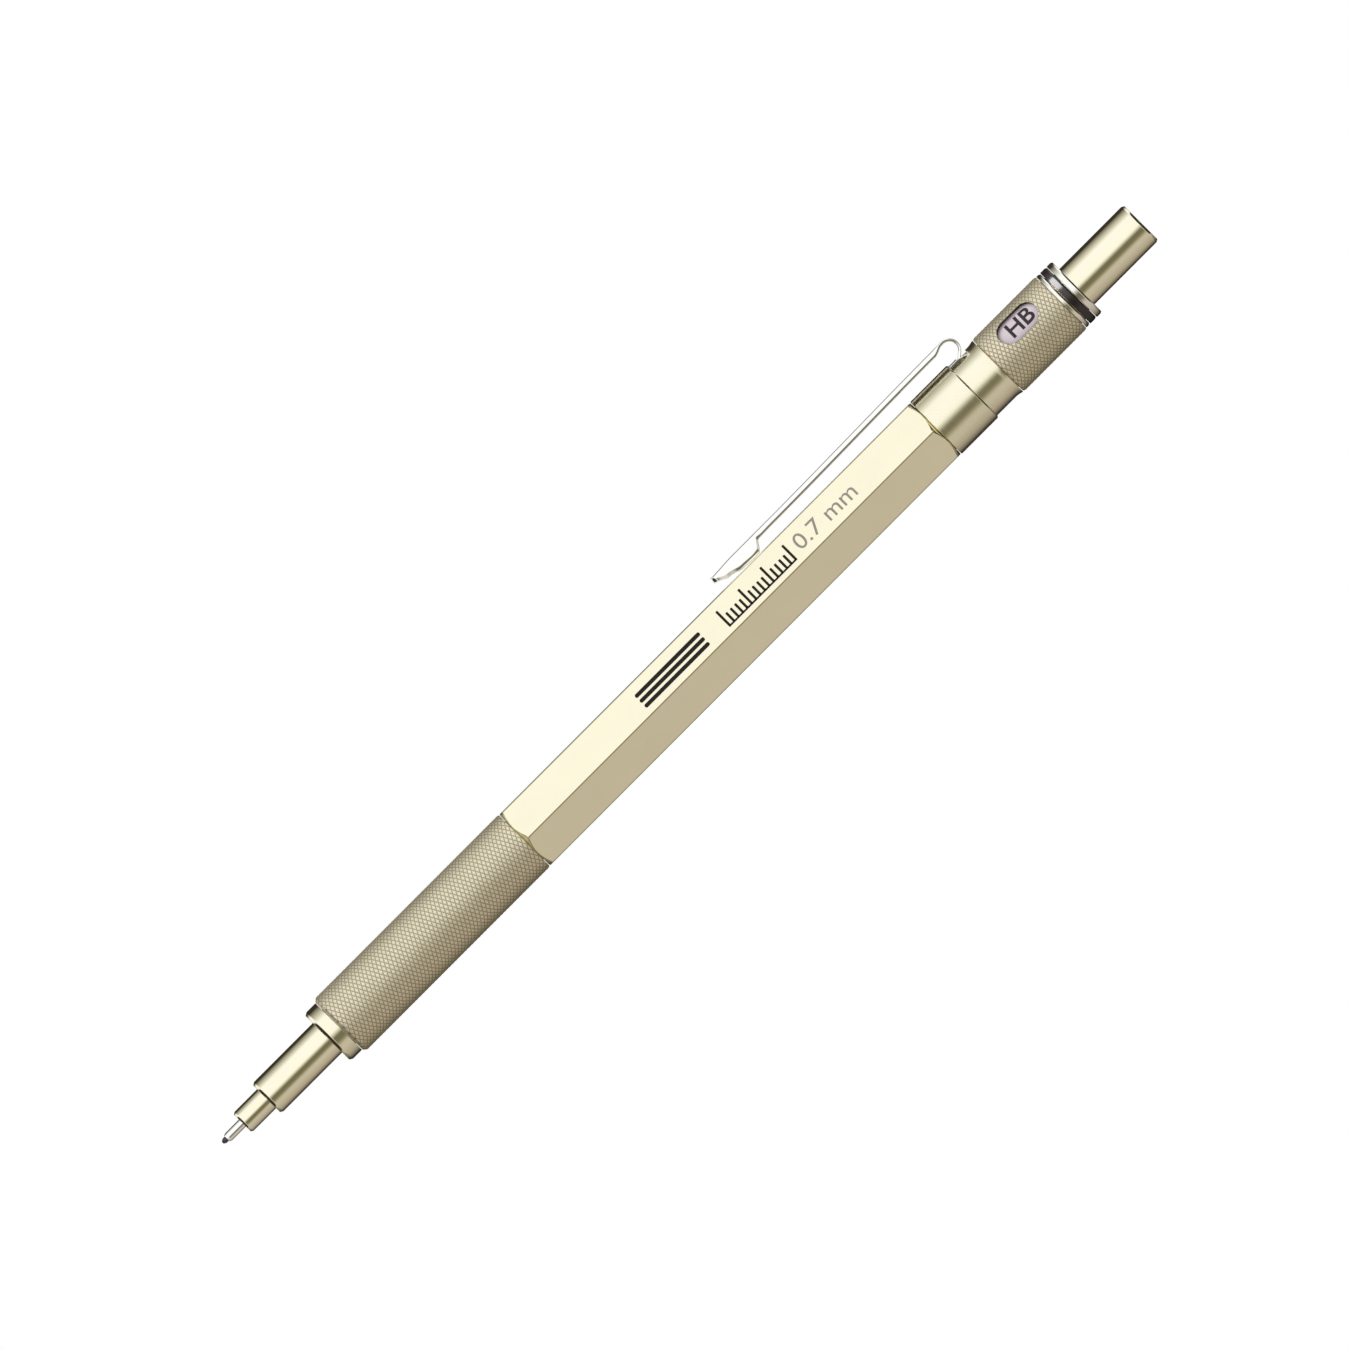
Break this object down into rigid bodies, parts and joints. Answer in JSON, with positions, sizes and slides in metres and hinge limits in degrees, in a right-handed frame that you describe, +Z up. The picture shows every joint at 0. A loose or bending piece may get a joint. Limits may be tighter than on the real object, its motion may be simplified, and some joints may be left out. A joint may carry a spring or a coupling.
{
  "type": "mechanical drafting pencil",
  "caption": "Push-action metal drafting pencil with hexagonal barrel, knurled grip, stepped nose, chrome pocket clip, rotating grade collar and push button.",
  "frame": {"origin": "under the middle of the length, on the surface that the pencil lies on", "axes": "+X from the writing tip to the push button, +Y across the barrel, +Z up, with the clip on top"},
  "size_m": [0.142, 0.009, 0.0103],
  "materials": {
    "satin_champagne": "satin champagne anodised",
    "plated_champagne": "polished champagne plating",
    "knurled_champagne": "knurled champagne plating",
    "chrome": "mirror polished",
    "silver": "bright turned",
    "gloss_black": "gloss",
    "brass": "turned",
    "spring_steel": "drawn wire",
    "clear_plastic": "translucent",
    "pale_drum": "gloss",
    "black_rubber": "matt",
    "white_eraser": "matt",
    "graphite": "dull metallic"
  },
  "bodies": {
    "shell": {"grip": "knurled_champagne", "connector_bush": "brass", "barrel": "satin_champagne", "rear_tube": "brass", "clip_band": "plated_champagne", "clip_loop": "chrome", "grade_drum": "pale_drum", "bright_washer": "silver", "black_ring": "gloss_black", "end_ring": "silver", "clutch_sleeve": "brass", "clutch_spring": "spring_steel"},
    "nose": {"nose_cone": "plated_champagne", "lead_sleeve": "chrome", "lead_retainer": "black_rubber"},
    "mechanism": {"lead_tube": "clear_plastic", "tube_coupler": "brass", "chuck_body": "brass", "button_bush": "clear_plastic", "spare_lead_1": "graphite", "spare_lead_2": "graphite", "spare_lead_3": "graphite"},
    "clutch_ring": {"clutch_ring": "brass"},
    "jaw_1": {"chuck_jaw_1": "brass"},
    "jaw_2": {"chuck_jaw_2": "brass"},
    "jaw_3": {"chuck_jaw_3": "brass"},
    "lead": {"writing_lead": "graphite"},
    "plug": {"eraser_ferrule": "silver", "eraser": "white_eraser"},
    "cap": {"push_button": "plated_champagne"},
    "collar": {"grade_collar": "knurled_champagne"},
    "clip": {"clip": "chrome"}
  },
  "joints": [
    {"name": "button_push", "type": "slide", "parent": "shell", "child": "mechanism", "axis": [-1, 0, 0], "range_m": [0, 0.0025], "stiffness_N_per_m": 500, "springref_m": -0.0005, "deforming": ["clutch_spring"]},
    {"name": "ring_slide", "type": "slide", "parent": "shell", "child": "clutch_ring", "axis": [-1, 0, 0], "range_m": [0, 0.0012]},
    {"name": "jaw_1_open", "type": "hinge", "parent": "mechanism", "child": "jaw_1", "pos_m": [-0.05, 0, 0.004], "axis": [0, -1, 0], "range_deg": [0, 1.5]},
    {"name": "jaw_2_open", "type": "hinge", "parent": "mechanism", "child": "jaw_2", "pos_m": [-0.05, 0, 0.004], "axis": [0, 0.5, -0.866], "range_deg": [0, 1.5]},
    {"name": "jaw_3_open", "type": "hinge", "parent": "mechanism", "child": "jaw_3", "pos_m": [-0.05, 0, 0.004], "axis": [0, 0.5, 0.866], "range_deg": [0, 1.5]},
    {"name": "lead_feed", "type": "slide", "parent": "shell", "child": "lead", "axis": [-1, 0, 0], "range_m": [-0.004, 0.006]},
    {"name": "nose_unscrew", "type": "slide", "parent": "shell", "child": "nose", "axis": [-1, 0, 0], "range_m": [0, 0.03]},
    {"name": "eraser_pull_out", "type": "slide", "parent": "mechanism", "child": "plug", "axis": [1, 0, 0], "range_m": [0, 0.008]},
    {"name": "cap_pull_off", "type": "slide", "parent": "plug", "child": "cap", "axis": [1, 0, 0], "range_m": [0, 0.014]},
    {"name": "collar_turn", "type": "hinge", "parent": "shell", "child": "collar", "pos_m": [0.0538, 0, 0.004], "axis": [1, 0, 0], "continuous": true},
    {"name": "clip_flex", "type": "hinge", "parent": "shell", "child": "clip", "pos_m": [0.0454, 0, 0.01005], "axis": [0, 1, 0], "range_deg": [0, 4], "stiffness_Nm_per_rad": 0.5}
  ],
  "couplings": [
    {"joint": "ring_slide", "follows": "button_push", "ratio": 0.48},
    {"joint": "jaw_1_open", "follows": "button_push", "rad_per_m": 10.4},
    {"joint": "jaw_2_open", "follows": "button_push", "rad_per_m": 10.4},
    {"joint": "jaw_3_open", "follows": "button_push", "rad_per_m": 10.4}
  ]
}
